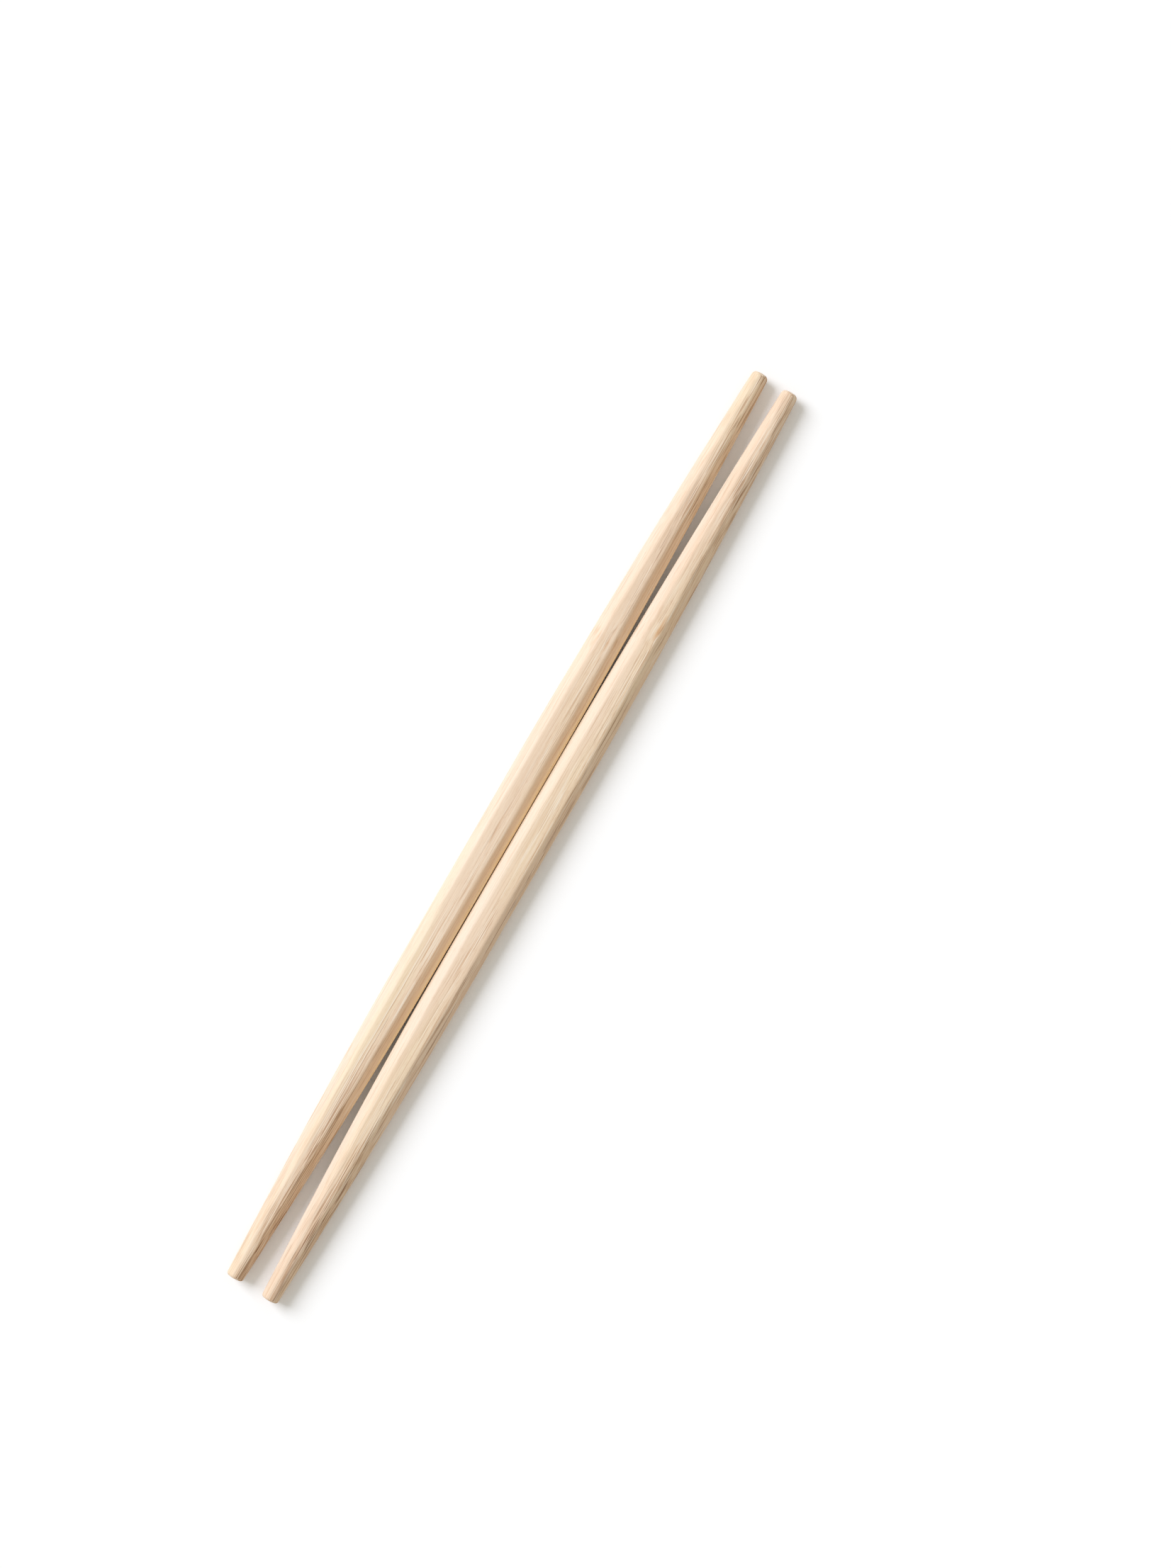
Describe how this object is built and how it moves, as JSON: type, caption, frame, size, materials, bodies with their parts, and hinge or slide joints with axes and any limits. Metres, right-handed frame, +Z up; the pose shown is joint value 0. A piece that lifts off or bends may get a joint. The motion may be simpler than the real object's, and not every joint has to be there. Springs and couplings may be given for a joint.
{
  "type": "pair of chopsticks",
  "caption": "Disposable bamboo chopsticks lying side by side, flat and bevelled in the middle and narrowing to slim round blunt ends, used to pick up food.",
  "frame": {"origin": "on the surface that the sticks lie on, under the middle of the pair", "axes": "+X along the sticks towards the eating tips, +Y towards the left stick as seen with the tips pointing away, +Z up"},
  "size_m": [0.2404, 0.0176, 0.0056],
  "materials": {
    "bamboo": "bare, smoothly planed pale bamboo with a soft satin surface and straight fibre streaks along the length"
  },
  "bodies": {
    "root": {"left_chopstick": "bamboo", "right_chopstick": "bamboo"}
  },
  "joints": []
}
